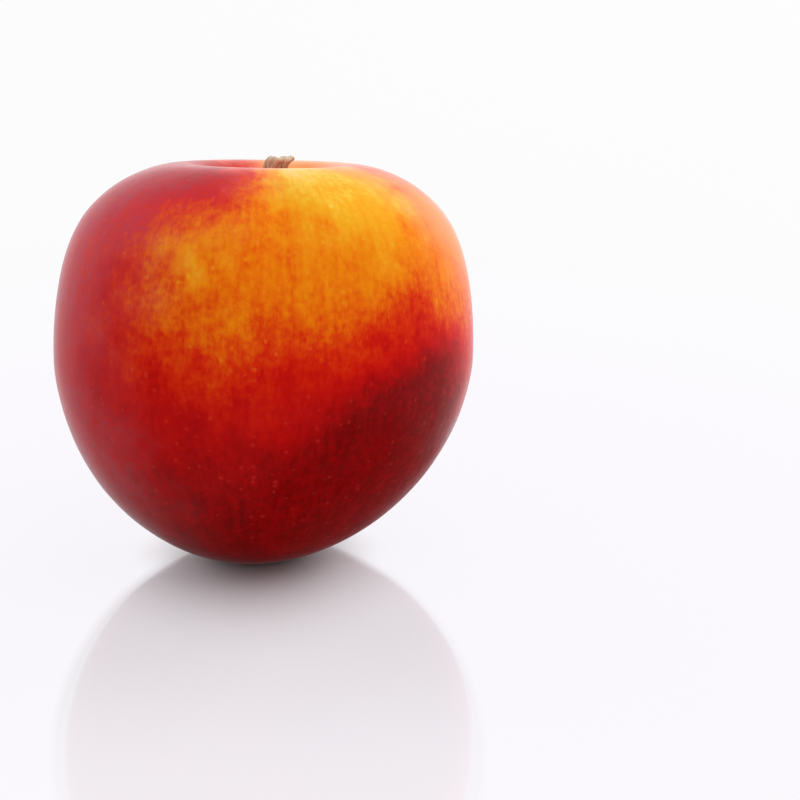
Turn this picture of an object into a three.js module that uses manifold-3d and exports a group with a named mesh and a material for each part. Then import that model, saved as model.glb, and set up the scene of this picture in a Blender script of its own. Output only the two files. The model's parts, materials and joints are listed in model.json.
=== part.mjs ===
// A whole ripe nectarine resting on its blossom end, with a short dry stalk in its stem cavity.
// Millimetres, +Z up. The suture faces -Y, and +X is to its right.
import * as THREE from "three";
import { mergeVertices } from "three/addons/utils/BufferGeometryUtils.js";
import Module from "manifold-3d";

// Fruit, around its own stem axis
const equatorRadius = 33.6;
const shoulderHeight = 31.2; // from the widest level up to where the top would close without its cavity
const baseHeight = 36.1; // from the widest level down to the blossom end
const shoulderFullness = 2.82; // 2 is a plain ellipse, and more is squarer
const baseFullness = 1.91;
const cavityDepth = 8.5;
const cavityRadius = 8.2; // where the cavity has risen by about two thirds
const sutureTurn = THREE.MathUtils.degToRad(-83.5); // around the axis, from +X
const sutureWidth = THREE.MathUtils.degToRad(9);
const sutureDepth = 0.022; // share of the distance from the fruit's middle
const cheekTurn = THREE.MathUtils.degToRad(32);
const cheekStretch = 1.053; // longer along the cheeks, and shorter across them by the same factor
const tipShift = new THREE.Vector2(-1.8, -0.3); // how far the blossom end has grown off the axis

// How it stands
const leanBack = THREE.MathUtils.degToRad(9.5);
const leanRight = THREE.MathUtils.degToRad(1.5);
const restFlat = 0.9; // how much of the underside the flat spot takes off

// Stalk
const stalkHeight = 7.6;
const stalkGap = 0.75; // above the lowest point of the cavity, so that its foot clears the walls by 0.3
const stalkBend = 2.2; // how far its end has bent over, towards +X
const stalkOval = 0.88; // thickness front to back against left to right

// Mesh
const facesAcross = 26; // on each side of the box that is blown up into the fruit
const stalkSides = 24;

const { smoothstep, lerp } = THREE.MathUtils;

// A point of the skin around the stem axis. `polar` runs from 0 at the stem end to PI at the
// blossom end, and `turn` goes around the axis from +X towards +Y.
function skinPoint(polar, turn) {
  const rise = Math.cos(polar);
  const spread = Math.sin(polar);
  const upperShare = smoothstep(rise, -0.3, 0.7);
  const fullness = lerp(baseFullness, shoulderFullness, upperShare);
  const height = lerp(baseHeight, shoulderHeight, upperShare);
  const groove = 1 - sutureAt(rise, spread, turn);
  const radius = groove * equatorRadius * spread ** (2 / fullness);
  let level = groove * height * Math.sign(rise) * Math.abs(rise) ** (2 / fullness);
  if (rise > 0) {
    level -= cavityDepth * Math.exp(-((radius / cavityRadius) ** 2));
  }
  const point = new THREE.Vector3(radius * Math.cos(turn), radius * Math.sin(turn), level);
  stretchCheeks(point);
  const towardsTip = Math.max(0, -level / baseHeight) ** 2;
  point.x += tipShift.x * towardsTip;
  point.y += tipShift.y * towardsTip;
  return point;
}

// How deep the suture is here, as a share. It is deepest on the shoulder, and fades out towards
// the cavity and on the lower half.
function sutureAt(rise, spread, turn) {
  const away = Math.atan2(Math.sin(turn - sutureTurn), Math.cos(turn - sutureTurn));
  const along = lerp(0.12, 1, smoothstep(rise, -0.1, 0.8)) * smoothstep(spread, 0.25, 0.75);
  return sutureDepth * along * Math.exp(-((away / sutureWidth) ** 2));
}

// Spreads the facets evenly out from the stem, where the square shoulder would push them outwards.
function evenPolar(polar) {
  const quarter = Math.PI / 2;
  return polar < quarter ? quarter * (polar / quarter) ** (shoulderFullness / 2) : polar;
}

function stretchCheeks(point) {
  const axis = new THREE.Vector3(0, 0, 1);
  point.applyAxisAngle(axis, -cheekTurn);
  point.x *= cheekStretch;
  point.y /= cheekStretch;
  point.applyAxisAngle(axis, cheekTurn);
}

// A box blown up into the fruit, so that its facets are of even size and it has no poles.
function fruitBody() {
  const box = new THREE.BoxGeometry(2, 2, 2, facesAcross, facesAcross, facesAcross);
  box.deleteAttribute("normal");
  box.deleteAttribute("uv");
  const body = mergeVertices(box);
  const place = body.getAttribute("position");
  const direction = new THREE.Vector3();
  for (let i = 0; i < place.count; i++) {
    direction.fromBufferAttribute(place, i);
    // The tangent evens out the facets between the middles and the corners of the box's sides.
    for (const axis of ["x", "y", "z"]) {
      direction[axis] = Math.tan((direction[axis] * Math.PI) / 4);
    }
    direction.normalize();
    const polar = evenPolar(Math.acos(direction.z));
    const point = skinPoint(polar, Math.atan2(direction.y, direction.x));
    place.setXYZ(i, point.x, point.y, point.z);
  }
  return body;
}

const wasm = await Module();
wasm.setup();

function toSolid(geometry) {
  const { position } = geometry.attributes;
  return new wasm.Manifold(
    new wasm.Mesh({
      numProp: 3,
      vertProperties: Float32Array.from(position.array),
      triVerts: Uint32Array.from(geometry.index.array),
    }),
  );
}

function toGeometry(solid) {
  const mesh = solid.getMesh();
  const geometry = new THREE.BufferGeometry();
  geometry.setAttribute("position", new THREE.BufferAttribute(mesh.vertProperties, 3));
  geometry.setIndex(new THREE.BufferAttribute(mesh.triVerts, 1));
  geometry.computeVertexNormals();
  return geometry;
}

// Takes a flat slice off the underside, which is the small flat spot that the fruit rests on.
function cutRestFlat(body) {
  body.computeBoundingBox();
  const size = body.boundingBox.getSize(new THREE.Vector3()).length();
  const below = new THREE.BoxGeometry(size, size, size);
  below.deleteAttribute("normal");
  below.deleteAttribute("uv");
  const slab = mergeVertices(below);
  slab.translate(0, 0, body.boundingBox.min.z + restFlat - size / 2);
  return toGeometry(toSolid(body).subtract(toSolid(slab)));
}

// The stalk's outline, from the middle of its foot to the middle of its ragged end.
function stalkGeometry() {
  const outline = new THREE.SplineCurve([
    new THREE.Vector2(1.7, 0),
    new THREE.Vector2(1.7, 0.25 * stalkHeight),
    new THREE.Vector2(1.75, 0.6 * stalkHeight),
    new THREE.Vector2(2.5, 0.86 * stalkHeight),
    new THREE.Vector2(2.4, 0.96 * stalkHeight),
  ]);
  const profile = [
    new THREE.Vector2(0, 0),
    ...outline.getPoints(10),
    new THREE.Vector2(0, stalkHeight),
  ];
  const stalk = new THREE.LatheGeometry(profile, stalkSides);
  stalk.rotateX(Math.PI / 2);
  stalk.scale(1, stalkOval, 1);
  const place = stalk.getAttribute("position");
  for (let i = 0; i < place.count; i++) {
    const bend = stalkBend * (place.getZ(i) / stalkHeight) ** 2;
    place.setX(i, place.getX(i) + bend);
  }
  return stalk;
}

const lean = new THREE.Matrix4()
  .makeRotationY(leanRight)
  .multiply(new THREE.Matrix4().makeRotationX(-leanBack));

const fruitGeometry = cutRestFlat(fruitBody().applyMatrix4(lean));
fruitGeometry.computeBoundingBox();
const bounds = fruitGeometry.boundingBox;
const middle = bounds.getCenter(new THREE.Vector3());
const onTheGround = new THREE.Vector3(-middle.x, -middle.y, -bounds.min.z);

const nectarine = new THREE.Mesh(
  fruitGeometry,
  new THREE.MeshStandardMaterial({ color: 0xc23a1c, roughness: 0.45, metalness: 0 }),
);
nectarine.name = "nectarine";
nectarine.position.copy(onTheGround);

const stalk = new THREE.Mesh(
  stalkGeometry(),
  new THREE.MeshStandardMaterial({ color: 0x9a876a, roughness: 0.9, metalness: 0 }),
);
stalk.name = "stem_stub";
stalk.position.set(0, 0, shoulderHeight - cavityDepth + stalkGap);

const stemAxis = new THREE.Group();
stemAxis.applyMatrix4(lean);
stemAxis.position.copy(onTheGround);
stemAxis.add(stalk);

const fruit = new THREE.Group();
fruit.add(nectarine, stemAxis);

export default fruit;
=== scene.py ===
import json
import math
import bmesh
import bpy
from mathutils import Matrix, Vector, noise


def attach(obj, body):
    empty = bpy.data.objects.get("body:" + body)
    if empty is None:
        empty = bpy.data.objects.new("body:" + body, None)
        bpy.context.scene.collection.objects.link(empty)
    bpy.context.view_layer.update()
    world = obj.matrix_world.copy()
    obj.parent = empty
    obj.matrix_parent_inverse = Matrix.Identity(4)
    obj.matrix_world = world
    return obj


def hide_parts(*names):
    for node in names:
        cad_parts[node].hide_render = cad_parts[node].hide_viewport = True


# a ripe nectarine with a short dry stalk, in metres, with +Z up and the suture towards -Y
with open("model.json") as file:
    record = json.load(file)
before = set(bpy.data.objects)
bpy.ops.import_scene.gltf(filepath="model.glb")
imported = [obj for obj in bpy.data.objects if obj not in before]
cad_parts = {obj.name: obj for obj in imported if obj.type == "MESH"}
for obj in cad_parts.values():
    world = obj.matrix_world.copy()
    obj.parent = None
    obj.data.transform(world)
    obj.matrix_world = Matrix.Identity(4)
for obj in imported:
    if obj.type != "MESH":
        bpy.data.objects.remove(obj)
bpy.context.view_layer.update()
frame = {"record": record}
scene = bpy.context.scene
mm = 0.001


def addNode(tree, kind, **settings):
    node = tree.nodes.new(kind)
    for name, value in settings.items():
        setattr(node, name, value)
    return node


def feed(tree, socket, value):  # a socket is linked, anything else is set as the value
    if isinstance(value, bpy.types.NodeSocket):
        tree.links.new(value, socket)
    else:
        socket.default_value = value


def calc(tree, operation, *values):  # one Math node
    node = addNode(tree, "ShaderNodeMath", operation=operation)
    for socket, value in zip(node.inputs, values):
        feed(tree, socket, value)
    return node.outputs[0]


def product(tree, value, *others):  # all of them multiplied
    for other in others:
        value = calc(tree, "MULTIPLY", value, other)
    return value


def total(tree, value, *others):  # all of them added up
    for other in others:
        value = calc(tree, "ADD", value, other)
    return value


def vecCalc(tree, operation, *values):  # one Vector Math node
    node = addNode(tree, "ShaderNodeVectorMath", operation=operation)
    for socket, value in zip(node.inputs, values):
        feed(tree, socket, value)
    gives = "Value" if operation in ("DOT_PRODUCT", "LENGTH", "DISTANCE") else "Vector"
    return node.outputs[gives]


def scaleVec(tree, vector, factor):
    node = addNode(tree, "ShaderNodeVectorMath", operation="SCALE")
    feed(tree, node.inputs[0], vector)
    feed(tree, node.inputs["Scale"], factor)
    return node.outputs["Vector"]


def splitVec(tree, vector):
    node = addNode(tree, "ShaderNodeSeparateXYZ")
    feed(tree, node.inputs[0], vector)
    return node.outputs[0], node.outputs[1], node.outputs[2]


def joinVec(tree, x, y, z):
    node = addNode(tree, "ShaderNodeCombineXYZ")
    for socket, value in zip(node.inputs, (x, y, z)):
        feed(tree, socket, value)
    return node.outputs[0]


def turnVec(tree, vector, axis, angle):
    node = addNode(tree, "ShaderNodeVectorRotate", rotation_type=axis + "_AXIS")
    feed(tree, node.inputs["Vector"], vector)
    feed(tree, node.inputs["Angle"], angle)
    return node.outputs[0]


def smoothRise(tree, value, low, high, toLow=0.0, toHigh=1.0):
    node = addNode(tree, "ShaderNodeMapRange", interpolation_type="SMOOTHSTEP")
    for socket, wanted in zip(node.inputs, (value, low, high, toLow, toHigh)):
        feed(tree, socket, wanted)
    return node.outputs[0]


def blend(tree, a, b, share):  # a where the share is 0, b where it is 1
    return calc(tree, "MULTIPLY_ADD", calc(tree, "SUBTRACT", b, a), share, a)


def bell(tree, value, width):  # 1 in the middle, falling off either side over the width
    ratio = calc(tree, "DIVIDE", value, width)
    return calc(tree, "EXPONENT", product(tree, ratio, ratio, -1.0))


def mixColor(tree, a, b, share):  # 6 and 7 are the Mix node's colours, and 2 is the mixed one
    node = addNode(tree, "ShaderNodeMix", data_type="RGBA")
    feed(tree, node.inputs[0], share)
    feed(tree, node.inputs[6], a)
    feed(tree, node.inputs[7], b)
    return node.outputs[2]


def noiseAt(tree, vector, scale, roughness=0.5):
    node = addNode(tree, "ShaderNodeTexNoise")
    for name, value in (("Vector", vector), ("Scale", scale), ("Detail", 3.0), ("Roughness", roughness)):
        feed(tree, node.inputs[name], value)
    return node.outputs[0]


fruitShape = {
    "Equator Radius": 33.6 * mm,
    "Shoulder Height": 31.2 * mm,  # from the widest level up to where the top would close
    "Base Height": 36.1 * mm,  # from the widest level down to the tip
    "Shoulder Fullness": 2.82,  # 2 is a plain ellipse, and more is squarer
    "Base Fullness": 1.91,
    "Cavity Depth": 8.5 * mm,
    "Cavity Radius": 8.2 * mm,
    "Collar Height": 0.9 * mm,  # the skin's small rise round the foot of the stalk
    "Collar Radius": 2.6 * mm,
    "Suture Turn": math.radians(-83.5),
    "Suture Width": math.radians(9),
    "Suture Depth": 0.022,  # share of the distance from the fruit's middle
    "Suture Low End": 0.12,  # share of that depth left on the lower half
    "Cheek Turn": math.radians(32),
    "Cheek Stretch": 1.053,
    "Tip Right": -1.8 * mm,  # how far the tip has grown off the stem's axis
    "Tip Back": -0.3 * mm,
    "Lean Back": math.radians(9.5),
    "Lean Right": math.radians(1.5),
    "Rest Flat": 0.9 * mm,  # how much of the underside the flat spot takes off
    "Rest Rounding": 0.25 * mm,
    "Unevenness": 0.25 * mm,
    "Unevenness Scale": 2.6,
    "Facets": 120,  # along each side of the cube that is blown up into the fruit
}

fruitFades = {  # rise is 1 at the stalk and -1 at the tip, and spread is 0 at both and 1 between them
    "shoulderRise": (-0.3, 0.7),  # where the rounder base gives way to the square shoulder
    "sutureRise": (-0.1, 0.8),
    "sutureSpread": (0.25, 0.75),
}

# where the middle of the fruit's own shape comes to lie, once it leans and stands on its flat spot
fruitMiddle = Vector((0.0, -0.23, 34.92)) * mm


def buildFruitTree():
    tree = bpy.data.node_groups.new("nectarineShape", "GeometryNodeTree")
    for name, value in fruitShape.items():
        kind = "NodeSocketInt" if isinstance(value, int) else "NodeSocketFloat"
        tree.interface.new_socket(name=name, in_out="INPUT", socket_type=kind)
    tree.interface.new_socket(name="Skin", in_out="INPUT", socket_type="NodeSocketMaterial")
    tree.interface.new_socket(name="Geometry", in_out="OUTPUT", socket_type="NodeSocketGeometry")
    size = addNode(tree, "NodeGroupInput").outputs

    cube = addNode(tree, "GeometryNodeMeshCube")
    feed(tree, cube.inputs["Size"], (2.0, 2.0, 2.0))
    for side in ("Vertices X", "Vertices Y", "Vertices Z"):
        feed(tree, cube.inputs[side], calc(tree, "ADD", size["Facets"], 1))

    # the cube's points as directions from the fruit's middle, evened out between its corners
    spot = addNode(tree, "GeometryNodeInputPosition").outputs[0]
    direction = vecCalc(tree, "NORMALIZE", vecCalc(tree, "TANGENT", scaleVec(tree, spot, math.pi / 4)))
    dirX, dirY, dirZ = splitVec(tree, direction)
    turn = calc(tree, "ARCTAN2", dirY, dirX)

    # the angle down from the stem, spread out so that the square shoulder's facets stay even
    quarter = math.pi / 2
    plainPolar = calc(tree, "ARCCOSINE", dirZ)
    share = calc(tree, "POWER", calc(tree, "DIVIDE", plainPolar, quarter),
                 product(tree, size["Shoulder Fullness"], 0.5))
    polar = calc(tree, "MINIMUM", plainPolar, product(tree, share, quarter))
    rise = calc(tree, "COSINE", polar)
    spread = calc(tree, "SINE", polar)

    # the suture, deepest on the shoulder and fading at both ends
    away = calc(tree, "WRAP", calc(tree, "SUBTRACT", turn, size["Suture Turn"]), math.pi, -math.pi)
    along = smoothRise(tree, rise, *fruitFades["sutureRise"], size["Suture Low End"], 1.0)
    untilCavity = smoothRise(tree, spread, *fruitFades["sutureSpread"])
    across = bell(tree, away, size["Suture Width"])
    groove = calc(tree, "SUBTRACT", 1.0, product(tree, along, untilCavity, size["Suture Depth"], across))

    # full square shoulders over a rounder base
    upper = smoothRise(tree, rise, *fruitFades["shoulderRise"])
    fullness = blend(tree, size["Base Fullness"], size["Shoulder Fullness"], upper)
    height = blend(tree, size["Base Height"], size["Shoulder Height"], upper)
    power = calc(tree, "DIVIDE", 2.0, fullness)
    radius = product(tree, groove, size["Equator Radius"], calc(tree, "POWER", spread, power))
    climb = calc(tree, "POWER", calc(tree, "ABSOLUTE", rise), power)
    level = product(tree, groove, height, climb, calc(tree, "SIGN", rise))
    cavity = product(tree, size["Cavity Depth"], bell(tree, radius, size["Cavity Radius"]))
    collar = product(tree, size["Collar Height"], bell(tree, radius, size["Collar Radius"]))
    sunk = product(tree, calc(tree, "SUBTRACT", cavity, collar), calc(tree, "GREATER_THAN", rise, 0.0))
    level = calc(tree, "SUBTRACT", level, sunk)

    # cheeks, the tip's drift off the axis, and the gentle unevenness of a grown thing
    point = joinVec(tree, product(tree, radius, calc(tree, "COSINE", turn)),
                    product(tree, radius, calc(tree, "SINE", turn)), level)
    point = turnVec(tree, point, "Z", product(tree, size["Cheek Turn"], -1.0))
    squeeze = calc(tree, "DIVIDE", 1.0, size["Cheek Stretch"])
    stretched = vecCalc(tree, "MULTIPLY", point, joinVec(tree, size["Cheek Stretch"], squeeze, 1.0))
    point = turnVec(tree, stretched, "Z", size["Cheek Turn"])
    below = calc(tree, "DIVIDE", product(tree, level, -1.0), size["Base Height"])
    down = calc(tree, "MAXIMUM", below, 0.0)
    drift = joinVec(tree, size["Tip Right"], size["Tip Back"], 0.0)
    point = vecCalc(tree, "ADD", point, scaleVec(tree, drift, product(tree, down, down)))
    swell = calc(tree, "SUBTRACT", noiseAt(tree, direction, size["Unevenness Scale"]), 0.5)
    swelling = scaleVec(tree, direction, product(tree, swell, size["Unevenness"]))
    point = vecCalc(tree, "ADD", point, swelling)
    point = turnVec(tree, point, "X", product(tree, size["Lean Back"], -1.0))
    point = turnVec(tree, point, "Y", size["Lean Right"])
    grown = addNode(tree, "GeometryNodeSetPosition")
    feed(tree, grown.inputs["Geometry"], cube.outputs["Mesh"])
    feed(tree, grown.inputs["Position"], point)

    # the small flat spot underneath, softly rounded into the skin
    spotX, spotY, spotZ = splitVec(tree, addNode(tree, "GeometryNodeInputPosition").outputs[0])
    lowest = addNode(tree, "GeometryNodeAttributeStatistic")
    feed(tree, lowest.inputs["Geometry"], grown.outputs[0])
    feed(tree, lowest.inputs["Attribute"], spotZ)
    ground = calc(tree, "ADD", lowest.outputs["Min"], size["Rest Flat"])
    raised = calc(tree, "SMOOTH_MAX", spotZ, ground, size["Rest Rounding"])
    flattened = addNode(tree, "GeometryNodeSetPosition")
    feed(tree, flattened.inputs["Geometry"], grown.outputs[0])
    feed(tree, flattened.inputs["Position"], joinVec(tree, spotX, spotY, raised))

    # its box stands centred on the origin, as the frame's does
    extent = addNode(tree, "GeometryNodeBoundBox")
    feed(tree, extent.inputs[0], flattened.outputs[0])
    middle = scaleVec(tree, vecCalc(tree, "ADD", extent.outputs["Min"], extent.outputs["Max"]), -0.5)
    moveX, moveY = splitVec(tree, middle)[:2]
    moveZ = product(tree, splitVec(tree, extent.outputs["Min"])[2], -1.0)
    placed = addNode(tree, "GeometryNodeSetPosition")
    feed(tree, placed.inputs["Geometry"], flattened.outputs[0])
    feed(tree, placed.inputs["Offset"], joinVec(tree, moveX, moveY, moveZ))

    smooth = addNode(tree, "GeometryNodeSetShadeSmooth")
    feed(tree, smooth.inputs["Geometry"], placed.outputs[0])
    real = addNode(tree, "GeometryNodeRealizeInstances")
    feed(tree, real.inputs[0], smooth.outputs[0])
    dressed = addNode(tree, "GeometryNodeSetMaterial")
    feed(tree, dressed.inputs["Geometry"], real.outputs[0])
    feed(tree, dressed.inputs["Material"], size["Skin"])
    feed(tree, addNode(tree, "NodeGroupOutput").inputs[0], dressed.outputs[0])
    return tree


def growFruit(skin):
    tree = buildFruitTree()
    seed = bpy.data.objects.new("fruitSeed", bpy.data.meshes.new("fruitSeed"))
    scene.collection.objects.link(seed)
    grow = seed.modifiers.new("grow", "NODES")
    grow.node_group = tree
    inputs = [item for item in tree.interface.items_tree if item.in_out == "INPUT"]
    sockets = {item.name: item.identifier for item in inputs}
    for name, value in fruitShape.items():
        grow[sockets[name]] = value
    grow[sockets["Skin"]] = skin
    evaluated = seed.evaluated_get(bpy.context.evaluated_depsgraph_get())
    mesh = bpy.data.meshes.new_from_object(evaluated)
    bpy.data.objects.remove(seed)
    fruit = bpy.data.objects.new("fruit_skin", mesh)
    scene.collection.objects.link(fruit)
    return fruit


stalkShape = {
    "gap": 0.75 * mm,  # from the bottom of the plain cavity, without its collar, up to the stalk's foot
    "height": 7.6 * mm,
    "bend": 2.2 * mm,  # how far its end has bent over to the right
    "oval": 0.88,  # thickness front to back against left to right
    "outline": (  # share of the height, then the radius in mm
        (0.0, 1.68),
        (0.25, 1.58),
        (0.6, 1.62),
        (0.84, 2.2),
        (0.95, 2.42),
        (1.0, 2.3),
    ),
    "rings": 44,
    "sides": 72,
    "footRings": 4,
    "endRings": 12,
    "ridges": ((7, 1.0, 0.0), (4, 0.5, 2.0)),  # how many, how strong, and where they start in radians
    "ridgeDepth": 0.07,  # share of the radius
    "ridgeLevel": 1.3,  # the ridge strength that just reaches the outline
    "sway": 0.25,  # how far the ridges wander round the stalk, in radians
    "swayWave": (1.0, 3.0),  # where that wander starts at the foot and how far it runs, in radians
    "roughness": 0.12 * mm,
    "roughPerMetre": 1500,
    "roughRun": 0.4,  # less makes the roughness longer up the stalk
    "raggedness": 0.55 * mm,
    "raggedPerMetre": 900,
    "raggedFrom": 0.8,  # share of the height where the torn end begins
    "raggedSink": 0.25,  # share of the raggedness by which that end sinks
    "raggedCrown": 0.2,  # and by which its rim sinks below its middle
    "seed": 4,
}


def stalkRadius(share):
    outline = stalkShape["outline"]
    for (low, lowRadius), (high, highRadius) in zip(outline, outline[1:]):
        if share <= high:
            part = (share - low) / (high - low)
            part = part * part * (3 - 2 * part)
            return (lowRadius + (highRadius - lowRadius) * part) * mm
    return outline[-1][1] * mm


def stalkPoint(share, around, inward):  # inward shrinks the ring, over the foot and the torn end
    waveStart, waveRun = stalkShape["swayWave"]
    turn = around + stalkShape["sway"] * math.sin(waveRun * share + waveStart)

    # the two rounds of ridges add up unevenly, and cut into the outline more than they stand out
    ridge = 0.0
    for count, strength, start in stalkShape["ridges"]:
        ridge += strength * math.cos(count * turn + start)
    carved = 1 + stalkShape["ridgeDepth"] * (ridge - stalkShape["ridgeLevel"])
    radius = stalkRadius(share) * carved * inward
    x = radius * math.cos(around) + stalkShape["bend"] * share * share
    y = radius * math.sin(around) * stalkShape["oval"]
    foot = fruitShape["Shoulder Height"] - fruitShape["Cavity Depth"] + stalkShape["gap"]
    z = foot + stalkShape["height"] * share

    # small dents all over it, and fibres of uneven length at its torn end
    rough = noise.noise_vector(Vector((x, y, z * stalkShape["roughRun"])) * stalkShape["roughPerMetre"])
    rough *= stalkShape["roughness"]
    torn = noise.noise(Vector((x, y, 0.0)) * stalkShape["raggedPerMetre"]) - stalkShape["raggedSink"]
    towardsEnd = max(0.0, share - stalkShape["raggedFrom"]) / (1 - stalkShape["raggedFrom"])
    z += (torn - inward * inward * stalkShape["raggedCrown"]) * stalkShape["raggedness"] * towardsEnd
    return Vector((x + rough.x * inward, y + rough.y * inward, z))


def growStalk(wood):
    noise.seed_set(stalkShape["seed"])  # without it, noise_vector differs from run to run
    rings = stalkShape["rings"]
    sides = stalkShape["sides"]
    footRings = stalkShape["footRings"]
    endRings = stalkShape["endRings"]
    steps = [(0.0, ring / footRings) for ring in range(1, footRings)]
    steps += [(ring / rings, 1.0) for ring in range(rings + 1)]
    steps += [(1.0, 1 - ring / endRings) for ring in range(1, endRings)]
    leanBack = Matrix.Rotation(-fruitShape["Lean Back"], 3, "X")
    lean = Matrix.Rotation(fruitShape["Lean Right"], 3, "Y") @ leanBack
    build = bmesh.new()

    def addPoint(share, around, inward):
        return build.verts.new(fruitMiddle + lean @ stalkPoint(share, around, inward))

    turns = [2 * math.pi * side / sides for side in range(sides)]
    loops = [[addPoint(share, around, inward) for around in turns] for share, inward in steps]
    foot = addPoint(0.0, 0.0, 0.0)
    tip = addPoint(1.0, 0.0, 0.0)
    for lower, upper in zip(loops, loops[1:]):
        for side in range(sides):
            after = (side + 1) % sides
            build.faces.new((lower[side], lower[after], upper[after], upper[side]))
    for side in range(sides):
        after = (side + 1) % sides
        build.faces.new((foot, loops[0][after], loops[0][side]))
        build.faces.new((tip, loops[-1][side], loops[-1][after]))
    for face in build.faces:
        face.smooth = True
    mesh = bpy.data.meshes.new("stem_stub_dry")
    build.to_mesh(mesh)
    build.free()
    mesh.materials.append(wood)
    stalk = bpy.data.objects.new("stem_stub_dry", mesh)
    scene.collection.objects.link(stalk)
    return stalk


def startMaterial(name):
    material = bpy.data.materials.new(name)
    material.use_nodes = True
    tree = material.node_tree
    return material, tree, tree.nodes["Principled BSDF"]


def newGroup(name, inputs, outputs):  # inputs and outputs are (name, "Float" or "Vector") pairs
    group = bpy.data.node_groups.new(name, "ShaderNodeTree")
    for way, sockets in (("INPUT", inputs), ("OUTPUT", outputs)):
        for label, kind in sockets:
            group.interface.new_socket(name=label, in_out=way, socket_type="NodeSocket" + kind)
    return group, addNode(group, "NodeGroupInput").outputs, addNode(group, "NodeGroupOutput").inputs


def useGroup(tree, group, **values):
    node = addNode(tree, "ShaderNodeGroup", node_tree=group)
    for name, value in values.items():
        feed(tree, node.inputs[name], value)
    return node.outputs[0]


def makeMottleGroup():  # soft cloudy variation round zero, used by the skin and the stalk
    inputs = (("Point", "Vector"), ("Grain", "Float"), ("Amount", "Float"))
    tree, given, made = newGroup("mottle", inputs, (("Value", "Float"),))
    cloud = noiseAt(tree, given["Point"], calc(tree, "DIVIDE", 1.0, given["Grain"]), roughness=0.6)
    swing = smoothRise(tree, cloud, 0.3, 0.7, -1.0, 1.0)  # nearly all of the noise lies in this range
    feed(tree, made["Value"], product(tree, swing, given["Amount"]))
    return tree


def makePatchGroup():  # a soft-edged round patch on the skin, 1 inside and 0 outside
    inputs = (("Direction", "Vector"), ("Centre", "Vector"),
              ("Reach", "Float"), ("Softness", "Float"), ("Wander", "Float"))
    tree, given, made = newGroup("skinPatch", inputs, (("Mask", "Float"),))
    angle = calc(tree, "ARCCOSINE", vecCalc(tree, "DOT_PRODUCT", given["Direction"], given["Centre"]))
    angle = calc(tree, "ADD", angle, given["Wander"])
    half = product(tree, given["Softness"], 0.5)
    inner = calc(tree, "SUBTRACT", given["Reach"], half)
    outer = calc(tree, "ADD", given["Reach"], half)
    feed(tree, made["Mask"], smoothRise(tree, angle, inner, outer, 1.0, 0.0))
    return tree


def mottled(tree, mottle, point, look):  # look is the grain and the amount
    grain, amount = look
    return useGroup(tree, mottle, Point=point, Grain=grain, Amount=amount)


def paint(red, green, blue):  # a colour as seen, 0 to 255, as a node colour
    def plain(level):
        level = level / 255
        return level / 12.92 if level <= 0.04045 else ((level + 0.055) / 1.055) ** 2.4
    return plain(red), plain(green), plain(blue), 1.0


def towards(turn, polar):  # a direction on the fruit, in degrees round and down from the stalk
    turn = math.radians(turn)
    polar = math.radians(polar)
    return Vector((math.sin(polar) * math.cos(turn), math.sin(polar) * math.sin(turn), math.cos(polar)))


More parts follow.
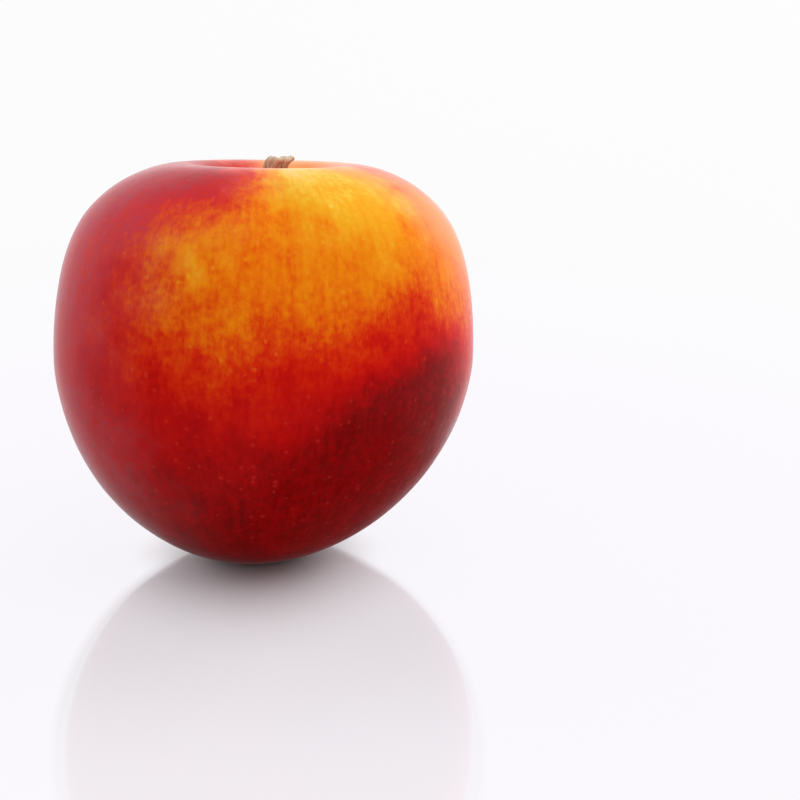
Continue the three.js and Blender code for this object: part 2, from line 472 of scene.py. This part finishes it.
skinLook = {
    "blushWithPaintedLight": (  # from the golden ground colour to the deepest red
        (0.00, paint(240, 198, 104)),
        (0.07, paint(241, 190, 58)),
        (0.12, paint(238, 168, 26)),
        (0.28, paint(237, 134, 4)),
        (0.42, paint(232, 106, 0)),
        (0.56, paint(222, 70, 0)),
        (0.68, paint(214, 39, 0)),
        (0.78, paint(202, 13, 1)),
        (0.88, paint(182, 1, 1)),
        (1.00, paint(126, 0, 0)),
    ),
    "ground": 0.86,  # blush level where no patch lies
    "patches": (  # turn, polar, reach and softness in degrees, then the blush level inside; a few of these paint shade or a highlight into that level
        # a deeper red round the underside, partly painted shade there
        (-90, 165, 48, 50, 0.97),
        (-160, 70, 40, 60, 0.77),
        (-94, 61, 32, 46, 0.41),
        (-15, 64, 31, 26, 0.37),
        (-52, 83, 20, 22, 0.58),
        (-56, 48, 19, 20, 0.20),
        (-72, 62, 14, 24, 0.34),
        (-84, 96, 10, 20, 0.78),
        (-148, 24, 29, 24, 0.90),
        (-63, 35, 18, 22, 0.11),
        (-112, 62, 5, 16, 0.14),
        # partly the deepest red, partly painted shade darkening the lower right side
        (-34, 118, 38, 28, 0.99),
        (4, 92, 16, 34, 0.8),
        (58, 28, 22, 28, 0.24),
        (0, 0, 13, 12, 0.14),
        # a painted highlight: a pale golden spot on the near rim round the stalk
        (-74, 25, 8, 14, 0.02),
        (-34, 24, 7, 12, 0.24),
        (70, 62, 34, 46, 0.50),
        (95, 40, 16, 24, 0.24),
    ),
    "tintsWithPaintedHaze": (  # turn, polar, reach and softness, how strong each is, and its colour; partly the cheeks' own crimson and peach, partly painted haze that stands in for the pale sheen along the lit edges
        (-176, 98, 36, 40, 0.4, paint(176, 80, 96)),
        (-160, 128, 22, 30, 0.26, paint(172, 104, 110)),
        (-156, 48, 28, 40, 0.28, paint(186, 96, 118)),
        (-100, 22, 12, 24, 0.1, paint(226, 170, 170)),
        (80, 24, 16, 30, 0.32, paint(248, 204, 180)),
        (10, 46, 27, 30, 0.28, paint(236, 186, 150)),
    ),
    "wander": (0.3, math.radians(4)),  # grain, then how far patch edges stray
    "ragged": (7 * mm, math.radians(3)),  # and how far they break up
    "streaks": (0.055, 0.045),  # grain, then how far they move the blush level
    "dashes": (0.026, 0.05),
    "clouds": (5 * mm, 0.045),
    "speckle": (1.1 * mm, 0.055),
    "streakSlant": 0.16,  # how much streaks change from stalk to tip, and less makes them longer
    "dashSlant": 0.55,
    "tintStreaks": 3.5,  # how much all four of these show in the tints and the painted haze
    "mottledLevel": 0.52,  # the blush level that is mottled most
    "mottledRange": 0.25,
    "mottledLeast": 0.3,  # share of the mottling that is left elsewhere
    "sutureWidth": 0.022,  # a thin line down the suture is redder
    "sutureSides": (0.05, 0.4),  # it runs down the front alone
    "sutureRise": (-0.3, 0.1),
    "sutureBlush": 0.06,
    "poreSpacing": 1.7 * mm,
    "poreEdge": (0.12, 0.3),  # share of the spacing
    "poreChance": (0.35, 0.9),
    "poreBlush": 0.09,  # how much paler the blush is there
    "pore": paint(236, 160, 120),
    "poreTint": 0.025,
    "scar": paint(104, 66, 44),
    "scarReach": math.radians(2.4),
    "scarWander": 0.2,  # how much the speckle breaks up its edge
    "roughness": 0.46,
    "roughnessSpread": 0.6,
    "specular": 0.02,
    "bloom": 1.0,  # a thin waxy coat, which shows as a haze at the edges
    "bloomRoughness": 0.25,
    "bloomIor": 1.13,
    "bare": (-42, 146, 38, 30),  # where it has worn off: turn, polar, reach, softness
    "reliefStrength": 0.25,
    "reliefHeight": 0.12 * mm,
    "reliefSpeckle": 4.0,
    "sheenWeight": 0.24,
    "sheenRoughness": 0.2,
    "sheenTint": (1.0, 0.93, 0.98, 1.0),
}


def findPlace(tree):  # the offset and direction from the fruit's middle, as if it stood without a lean
    stemFrame = addNode(tree, "ShaderNodeMapping", vector_type="TEXTURE")
    feed(tree, stemFrame.inputs["Vector"], addNode(tree, "ShaderNodeTexCoord").outputs["Object"])
    feed(tree, stemFrame.inputs["Location"], fruitMiddle)
    feed(tree, stemFrame.inputs["Rotation"], (-fruitShape["Lean Back"], fruitShape["Lean Right"], 0.0))
    point = stemFrame.outputs[0]
    return point, vecCalc(tree, "NORMALIZE", point)


def addMottling(tree, mottle, point, direction):  # returns all of it, and its finest speckle alone
    dirX, dirY, dirZ = splitVec(tree, direction)
    around = vecCalc(tree, "NORMALIZE", joinVec(tree, dirX, dirY, 0.0))
    aroundX, aroundY = splitVec(tree, around)[:2]

    # streaks run from stalk to tip, so they depend on the turn and hardly on the height
    layers = []
    for name, slant in (("streaks", "streakSlant"), ("dashes", "dashSlant")):
        along = joinVec(tree, aroundX, aroundY, product(tree, dirZ, skinLook[slant]))
        layers.append(mottled(tree, mottle, along, skinLook[name]))
    for name in ("clouds", "speckle"):
        layers.append(mottled(tree, mottle, point, skinLook[name]))
    return total(tree, *layers), layers[-1]


def addSuture(tree, direction):  # a thin line down the front, 1 along its middle
    turn = fruitShape["Suture Turn"]
    sideways = vecCalc(tree, "DOT_PRODUCT", direction, (-math.sin(turn), math.cos(turn), 0.0))
    facing = vecCalc(tree, "DOT_PRODUCT", direction, (math.cos(turn), math.sin(turn), 0.0))
    front = smoothRise(tree, facing, *skinLook["sutureSides"])
    upper = smoothRise(tree, splitVec(tree, direction)[2], *skinLook["sutureRise"])
    return product(tree, bell(tree, sideways, skinLook["sutureWidth"]), front, upper)


def addPores(tree, point):  # small dots, up to 1 in their middles
    pores = addNode(tree, "ShaderNodeTexVoronoi")
    feed(tree, pores.inputs["Vector"], point)
    feed(tree, pores.inputs["Scale"], 1 / skinLook["poreSpacing"])
    chance = splitVec(tree, pores.outputs["Color"])[0]
    dot = smoothRise(tree, pores.outputs["Distance"], *skinLook["poreEdge"], 1.0, 0.0)
    return product(tree, dot, smoothRise(tree, chance, *skinLook["poreChance"]))


def addBlushRamp(tree, blushWithPaintedLight):
    ramp = addNode(tree, "ShaderNodeValToRGB")
    stops = ramp.color_ramp.elements
    while len(stops) < len(skinLook["blushWithPaintedLight"]):
        stops.new(0.5)  # its place follows below
    for stop, (place, color) in zip(stops, skinLook["blushWithPaintedLight"]):
        stop.position = place
        stop.color = color
    feed(tree, ramp.inputs[0], blushWithPaintedLight)
    return ramp.outputs["Color"]


def makeSkin(mottle):
    patch = makePatchGroup()
    material, tree, shader = startMaterial("skin")
    point, direction = findPlace(tree)
    mottling, speckle = addMottling(tree, mottle, point, direction)
    wander = total(tree, mottled(tree, mottle, direction, skinLook["wander"]),
                   mottled(tree, mottle, point, skinLook["ragged"]))

    def addPatch(turn, polar, reach, softness):  # in degrees
        return useGroup(tree, patch, Direction=direction, Centre=towards(turn, polar), Wander=wander,
                        Reach=math.radians(reach), Softness=math.radians(softness))

    blushWithPaintedLight = skinLook["ground"]
    for *place, level in skinLook["patches"]:
        blushWithPaintedLight = blend(tree, blushWithPaintedLight, level, addPatch(*place))
    blushWithPaintedLight = calc(tree, "MULTIPLY_ADD", addSuture(tree, direction), skinLook["sutureBlush"], blushWithPaintedLight)

    # the mottling shows most where orange meets red
    fromBusiest = calc(tree, "SUBTRACT", blushWithPaintedLight, skinLook["mottledLevel"])
    busy = blend(tree, skinLook["mottledLeast"], 1.0, bell(tree, fromBusiest, skinLook["mottledRange"]))
    blushWithPaintedLight = calc(tree, "MULTIPLY_ADD", mottling, busy, blushWithPaintedLight)
    pores = addPores(tree, point)
    blushWithPaintedLight = calc(tree, "SUBTRACT", blushWithPaintedLight, product(tree, pores, busy, skinLook["poreBlush"]))
    color = addBlushRamp(tree, blushWithPaintedLight)

    # the cheeks are crimson or peach over the blush, in faint streaks too, and the pale tints along the
    # edges are painted haze standing in for sheen
    uneven = calc(tree, "MULTIPLY_ADD", mottling, skinLook["tintStreaks"], 1.0)
    for *place, amount, tintWithPaintedHaze in skinLook["tintsWithPaintedHaze"]:
        color = mixColor(tree, color, tintWithPaintedHaze, product(tree, addPatch(*place), amount, uneven))
    color = mixColor(tree, color, skinLook["pore"], product(tree, pores, skinLook["poreTint"]))

    # the small brown scar that the flower left at the tip
    tip = Vector((fruitShape["Tip Right"], fruitShape["Tip Back"], -fruitShape["Base Height"]))
    scar = useGroup(tree, patch, Direction=direction, Centre=tip.normalized(),
                    Reach=skinLook["scarReach"], Softness=skinLook["scarReach"],
                    Wander=product(tree, speckle, skinLook["scarWander"]))
    feed(tree, shader.inputs["Base Color"], mixColor(tree, color, skinLook["scar"], scar))

    rough = calc(tree, "MULTIPLY_ADD", speckle, skinLook["roughnessSpread"], skinLook["roughness"])
    feed(tree, shader.inputs["Roughness"], rough)
    shader.inputs["Specular IOR Level"].default_value = skinLook["specular"]
    bare = addPatch(*skinLook["bare"])
    feed(tree, shader.inputs["Coat Weight"], blend(tree, skinLook["bloom"], 0.0, bare))
    shader.inputs["Coat Roughness"].default_value = skinLook["bloomRoughness"]
    shader.inputs["Coat IOR"].default_value = skinLook["bloomIor"]
    shader.inputs["Sheen Weight"].default_value = skinLook["sheenWeight"]
    shader.inputs["Sheen Roughness"].default_value = skinLook["sheenRoughness"]
    shader.inputs["Sheen Tint"].default_value = skinLook["sheenTint"]

    bump = addNode(tree, "ShaderNodeBump")
    bump.inputs["Strength"].default_value = skinLook["reliefStrength"]
    bump.inputs["Distance"].default_value = skinLook["reliefHeight"]
    relief = calc(tree, "SUBTRACT", product(tree, speckle, skinLook["reliefSpeckle"]), pores)
    feed(tree, bump.inputs["Height"], relief)
    feed(tree, shader.inputs["Normal"], bump.outputs[0])
    return material


woodLook = {
    "pale": paint(212, 190, 160),
    "brown": paint(170, 142, 110),
    "crack": paint(104, 80, 58),
    "torn": paint(226, 206, 178),
    "fibres": (0.35 * mm, 0.5),  # grain, then how strong they are
    "fibreLength": 0.09,  # less makes them longer
    "stain": (1.4 * mm, 0.5),
    "brownShare": 0.5,  # how brown it is between the stains
    "crackDepth": (-0.45, -0.1),  # the fibres' low places, which are cracks
    "crackAmount": 0.8,
    "tornHeights": (64.0 * mm, 65.4 * mm),  # above the ground, where the torn wood begins and takes over
    "tornAmount": 0.65,
    "roughness": 0.85,
    "roughnessSpread": 0.1,
    "specular": 0.2,
    "reliefStrength": 0.6,
    "reliefHeight": 0.15 * mm,
}


def makeStalkWood(mottle):
    material, tree, shader = startMaterial("dryStalk")
    spot = addNode(tree, "ShaderNodeTexCoord").outputs["Object"]
    stretched = addNode(tree, "ShaderNodeMapping", vector_type="POINT")
    feed(tree, stretched.inputs["Vector"], spot)
    feed(tree, stretched.inputs["Scale"], (1.0, 1.0, woodLook["fibreLength"]))
    fibres = mottled(tree, mottle, stretched.outputs[0], woodLook["fibres"])
    stain = mottled(tree, mottle, spot, woodLook["stain"])
    brown = calc(tree, "ADD", stain, woodLook["brownShare"])
    color = mixColor(tree, woodLook["pale"], woodLook["brown"], brown)
    cracks = smoothRise(tree, fibres, *woodLook["crackDepth"], woodLook["crackAmount"], 0.0)
    color = mixColor(tree, color, woodLook["crack"], cracks)
    height = splitVec(tree, spot)[2]
    torn = smoothRise(tree, height, *woodLook["tornHeights"], 0.0, woodLook["tornAmount"])
    feed(tree, shader.inputs["Base Color"], mixColor(tree, color, woodLook["torn"], torn))
    rough = calc(tree, "MULTIPLY_ADD", stain, woodLook["roughnessSpread"], woodLook["roughness"])
    feed(tree, shader.inputs["Roughness"], rough)
    shader.inputs["Specular IOR Level"].default_value = woodLook["specular"]
    bump = addNode(tree, "ShaderNodeBump")
    bump.inputs["Strength"].default_value = woodLook["reliefStrength"]
    bump.inputs["Distance"].default_value = woodLook["reliefHeight"]
    feed(tree, bump.inputs["Height"], fibres)
    feed(tree, shader.inputs["Normal"], bump.outputs[0])
    return material


floorLook = {
    "color": (0.66, 0.64, 0.67, 1.0),
    "roughness": 0.04,
    "ior": 2.0,
    "size": 6.0,  # metres
    "nearWhite": (0.975, 0.955, 1.0, 1.0),
    "farWhite": (0.98, 0.98, 0.98, 1.0),
    "whites": (60 * mm, 260 * mm),  # distance over which the one gives way to the other
    "whiteAmount": 0.9,
    "shadow": (7 * mm, 22 * mm),  # distance over which the shadow under the fruit gives way to white
    "poolCentre": (1.0 * mm, -75 * mm, 0.0),  # the reflection fills an oval in front of the fruit
    "poolSize": (28.2 * mm, 75 * mm, 1.0),
    "poolEdge": (0.99, 1.13),
    "nearFade": (5 * mm, 55 * mm),  # distance over which the reflection pales
    "nearFaded": 0.48,  # share of white that shows through it there
    "narrowing": (2.0, 1.0, 1.0),  # it pales sooner towards the sides
    "farFade": (45 * mm, 105 * mm),  # and it pales further here
    "farFaded": 0.25,
}


def makeFloor(restSpot):
    material, tree, shader = startMaterial("whiteFloor")
    shader.inputs["Base Color"].default_value = floorLook["color"]
    shader.inputs["Roughness"].default_value = floorLook["roughness"]
    shader.inputs["IOR"].default_value = floorLook["ior"]

    # away from the fruit and the reflection in front of it, the floor is seen as plain white
    spot = addNode(tree, "ShaderNodeTexCoord").outputs["Object"]
    fromContact = vecCalc(tree, "SUBTRACT", spot, restSpot)
    toContact = vecCalc(tree, "LENGTH", fromContact)
    fromPool = vecCalc(tree, "SUBTRACT", fromContact, floorLook["poolCentre"])
    toPool = vecCalc(tree, "LENGTH", vecCalc(tree, "DIVIDE", fromPool, floorLook["poolSize"]))
    outside = product(tree, smoothRise(tree, toPool, *floorLook["poolEdge"]),
                      smoothRise(tree, toContact, *floorLook["shadow"]))

    narrowed = vecCalc(tree, "LENGTH", vecCalc(tree, "MULTIPLY", fromContact, floorLook["narrowing"]))
    through = total(tree, smoothRise(tree, narrowed, *floorLook["nearFade"], 0.0, floorLook["nearFaded"]),
                    smoothRise(tree, toContact, *floorLook["farFade"], 0.0, floorLook["farFaded"]))
    seen = addNode(tree, "ShaderNodeLightPath").outputs["Is Camera Ray"]
    clear = product(tree, calc(tree, "MAXIMUM", outside, through), seen, floorLook["whiteAmount"])

    white = addNode(tree, "ShaderNodeEmission")
    far = smoothRise(tree, toContact, *floorLook["whites"])
    feed(tree, white.inputs["Color"], mixColor(tree, floorLook["nearWhite"], floorLook["farWhite"], far))
    mix = addNode(tree, "ShaderNodeMixShader")
    feed(tree, mix.inputs[0], clear)
    feed(tree, mix.inputs[1], shader.outputs[0])
    feed(tree, mix.inputs[2], white.outputs[0])
    feed(tree, tree.nodes["Material Output"].inputs["Surface"], mix.outputs[0])

    mesh = bpy.data.meshes.new("floor")
    half = floorLook["size"] / 2
    corners = [(-half, -half, 0), (half, -half, 0), (half, half, 0), (-half, half, 0)]
    mesh.from_pydata(corners, [], [(0, 1, 2, 3)])
    mesh.materials.append(material)
    floor = bpy.data.objects.new("floor", mesh)
    scene.collection.objects.link(floor)


studio = {
    "surroundings": 0.64,  # what the white world puts on the fruit, where 1 is seen as white
    "aim": (0, 0, 0.03),
    "softboxes": {  # place and width in metres, and power in watts
        "topSoftbox": ((0.45, -0.25, 1.1), 1.2, 7.4),
        "rightSoftbox": ((0.7, 0.75, 0.3), 0.5, 8.0),
        "leftSoftbox": ((-0.7, 0.75, 0.2), 0.5, 4.0),
    },
}


def makeWorld():
    world = bpy.data.worlds.new("whiteStudio")
    world.use_nodes = True
    tree = world.node_tree
    sky = tree.nodes["Background"]
    sky.inputs["Color"].default_value = (1.0, 1.0, 1.0, 1.0)
    path = addNode(tree, "ShaderNodeLightPath")
    seen = calc(tree, "MAXIMUM", path.outputs["Is Camera Ray"], path.outputs["Is Glossy Ray"])
    seen = calc(tree, "MAXIMUM", seen, path.outputs["Is Transmission Ray"])
    feed(tree, sky.inputs["Strength"], blend(tree, studio["surroundings"], 1.0, seen))
    scene.world = world


def addSoftbox(name, place, width, power):
    lamp = bpy.data.lights.new(name, "AREA")
    lamp.shape = "DISK"
    lamp.size = width
    lamp.energy = power
    box = bpy.data.objects.new(name, lamp)
    box.location = place
    box.visible_glossy = False  # neither the fruit nor the floor mirrors the lamps
    box.rotation_euler = (Vector(studio["aim"]) - Vector(place)).to_track_quat("-Z", "Y").to_euler()
    scene.collection.objects.link(box)


shot = {
    "distance": 530 * mm,  # along the floor, from the spot the fruit rests on
    "height": 182.5 * mm,
    "pitch": math.radians(16.46),  # down from level
    "pan": math.radians(2.54),  # to the right, which leaves room beside the fruit
    "lens": 151.0,
    "clipStart": 10 * mm,
}


def makeCamera(restSpot):
    camera = bpy.data.cameras.new("camera")
    camera.lens = shot["lens"]
    camera.clip_start = shot["clipStart"]
    holder = bpy.data.objects.new("camera", camera)
    holder.location = restSpot + Vector((0, -shot["distance"], shot["height"]))
    holder.rotation_euler = (math.pi / 2 - shot["pitch"], 0, -shot["pan"])
    scene.collection.objects.link(holder)
    scene.camera = holder


mottle = makeMottleGroup()
skin = makeSkin(mottle)
print("skin mixed")
fruit = growFruit(skin)
print("fruit grown:", len(fruit.data.polygons), "faces")
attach(fruit, "root")
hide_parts("nectarine")

stalk = growStalk(makeStalkWood(mottle))
print("stalk made:", len(stalk.data.polygons), "faces")
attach(stalk, "root")
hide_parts("stem_stub")

restSpot = Vector(frame["record"]["mounts"][0]["pos_m"])
makeFloor(restSpot)
makeWorld()
print("floor and world made")
for name, (place, width, power) in studio["softboxes"].items():
    addSoftbox(name, place, width, power)
makeCamera(restSpot)
print("lamps and camera placed")
scene.view_settings.view_transform = "Standard"
